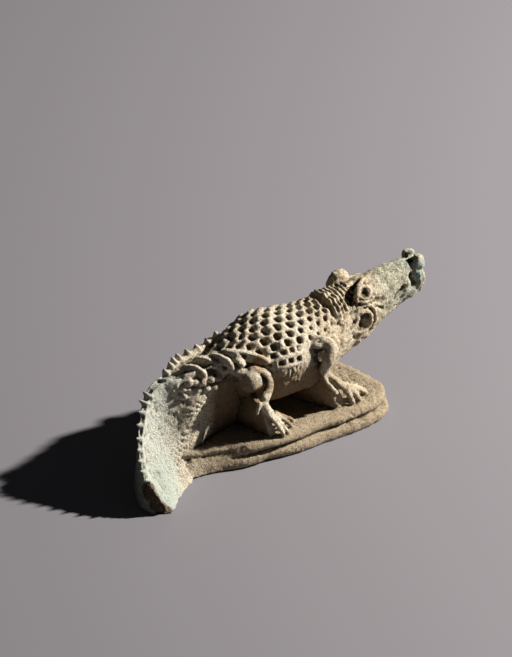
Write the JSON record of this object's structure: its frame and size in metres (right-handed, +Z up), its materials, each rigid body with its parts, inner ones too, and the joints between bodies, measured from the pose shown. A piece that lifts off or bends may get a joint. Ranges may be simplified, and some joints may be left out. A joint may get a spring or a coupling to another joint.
{
  "type": "sobek crocodile figure",
  "caption": "Moulded ceramic crocodile on a thin rounded plinth, head raised and tail curling to its right. A small votive ornament that stands on its flat underside.",
  "frame": {"origin": "middle of the figure's box, on the underside it stands on", "axes": "+X towards the snout along the animal, +Y to the animal's left, +Z up"},
  "size_m": [0.1, 0.035, 0.0386],
  "materials": {
    "worn_glazed_ceramic": "matt and grainy where the glaze has worn to a warm cream, paler green on the tail and snout, sandy tan on the plinth"
  },
  "bodies": {
    "root": {"crocodile_on_plinth": "worn_glazed_ceramic"}
  },
  "joints": []
}
